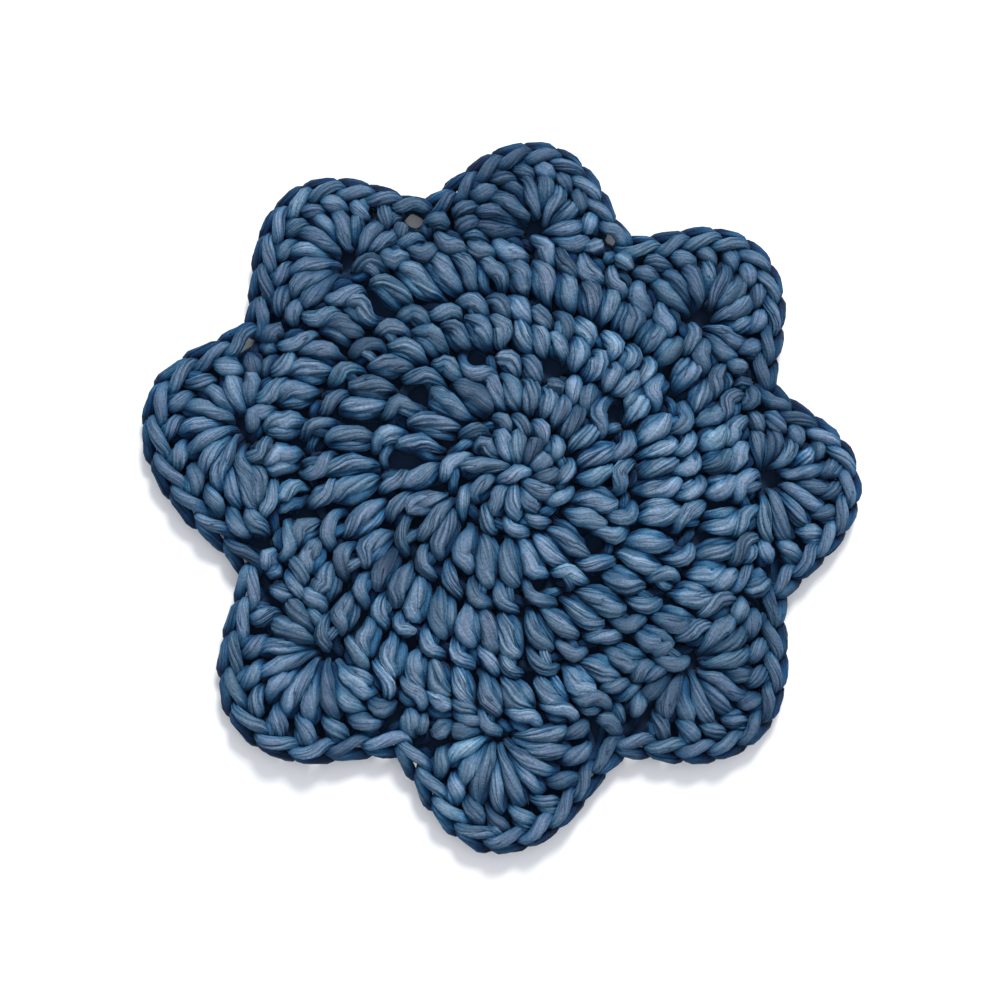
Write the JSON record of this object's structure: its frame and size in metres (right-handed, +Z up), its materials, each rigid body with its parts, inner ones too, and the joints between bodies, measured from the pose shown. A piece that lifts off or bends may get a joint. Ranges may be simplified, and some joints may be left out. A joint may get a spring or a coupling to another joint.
{
  "type": "crochet coaster",
  "caption": "Flat round crochet coaster of denim-blue yarn, worked in the round, with a scalloped border of fan-shaped shells.",
  "frame": {"origin": "centre of the mat's outline box, on the plane that it lies on", "axes": "+Z up out of the table, through the thickness of the mat; +Y towards the picture's top; +X towards its right"},
  "size_m": [0.1402, 0.1386, 0.006],
  "materials": {
    "yarn": "soft matte, loosely twisted yarn with a slight sheen on the strands"
  },
  "bodies": {
    "root": {"coaster": "yarn"}
  },
  "joints": []
}
